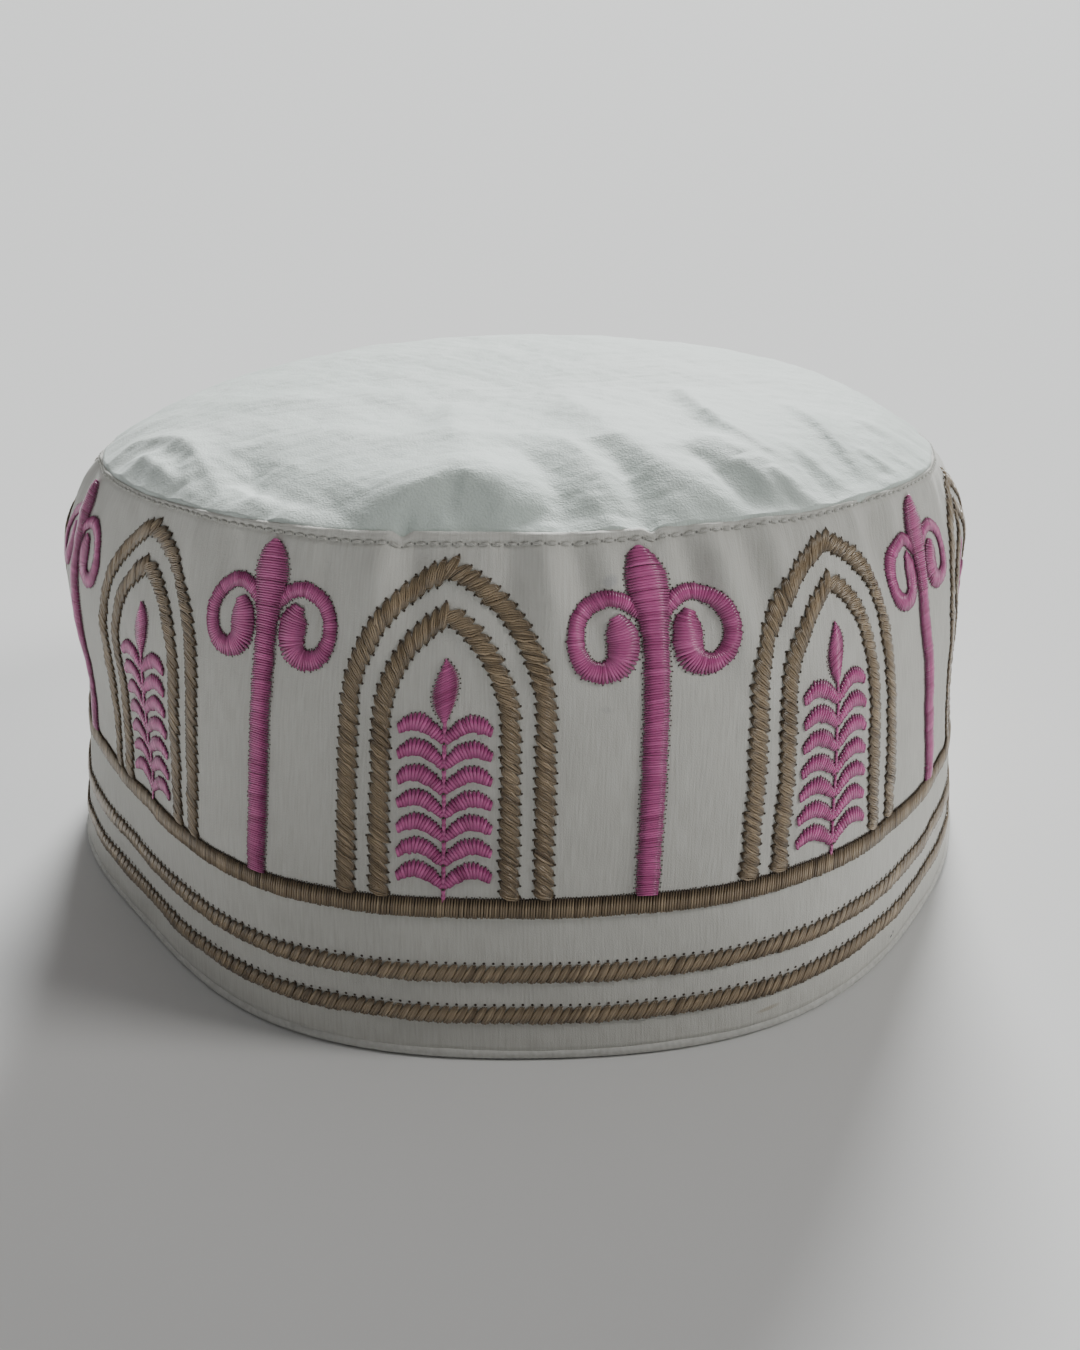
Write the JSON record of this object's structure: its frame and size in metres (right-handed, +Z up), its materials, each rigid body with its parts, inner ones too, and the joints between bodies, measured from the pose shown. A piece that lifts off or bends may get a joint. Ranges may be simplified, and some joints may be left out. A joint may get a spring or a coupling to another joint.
{
  "type": "kufi cap",
  "caption": "Round brimless cloth cap with a domed crown and an upright band embroidered with pointed arches and scrolled columns.",
  "frame": {"origin": "centre of the cap's plan, on the surface that its rim stands on", "axes": "+Z up through the crown, the front seen in the picture faces -Y, +X to its right"},
  "size_m": [0.1883, 0.1833, 0.0978],
  "materials": {
    "crown_cloth": "matte white cotton sateen",
    "band_cloth": "matte white plain-weave cotton",
    "brown_thread": "satin-stitched brown thread",
    "pink_thread": "satin-stitched pink thread"
  },
  "bodies": {
    "root": {"crown": "crown_cloth", "band": "band_cloth", "hem_roll": "band_cloth", "base_band": "brown_thread", "cord_stripe_upper": "brown_thread", "cord_stripe_lower": "brown_thread", "arch_outer_1": "brown_thread", "arch_inner_1": "brown_thread", "column_1": "pink_thread", "fern_1": "pink_thread", "arch_outer_2": "brown_thread", "arch_inner_2": "brown_thread", "column_2": "pink_thread", "fern_2": "pink_thread", "arch_outer_3": "brown_thread", "arch_inner_3": "brown_thread", "column_3": "pink_thread", "fern_3": "pink_thread", "arch_outer_4": "brown_thread", "arch_inner_4": "brown_thread", "column_4": "pink_thread", "fern_4": "pink_thread", "arch_outer_5": "brown_thread", "arch_inner_5": "brown_thread", "column_5": "pink_thread", "fern_5": "pink_thread", "arch_outer_6": "brown_thread", "arch_inner_6": "brown_thread", "column_6": "pink_thread", "fern_6": "pink_thread", "arch_outer_7": "brown_thread", "arch_inner_7": "brown_thread", "column_7": "pink_thread", "fern_7": "pink_thread", "arch_outer_8": "brown_thread", "arch_inner_8": "brown_thread", "column_8": "pink_thread", "fern_8": "pink_thread"}
  },
  "joints": []
}
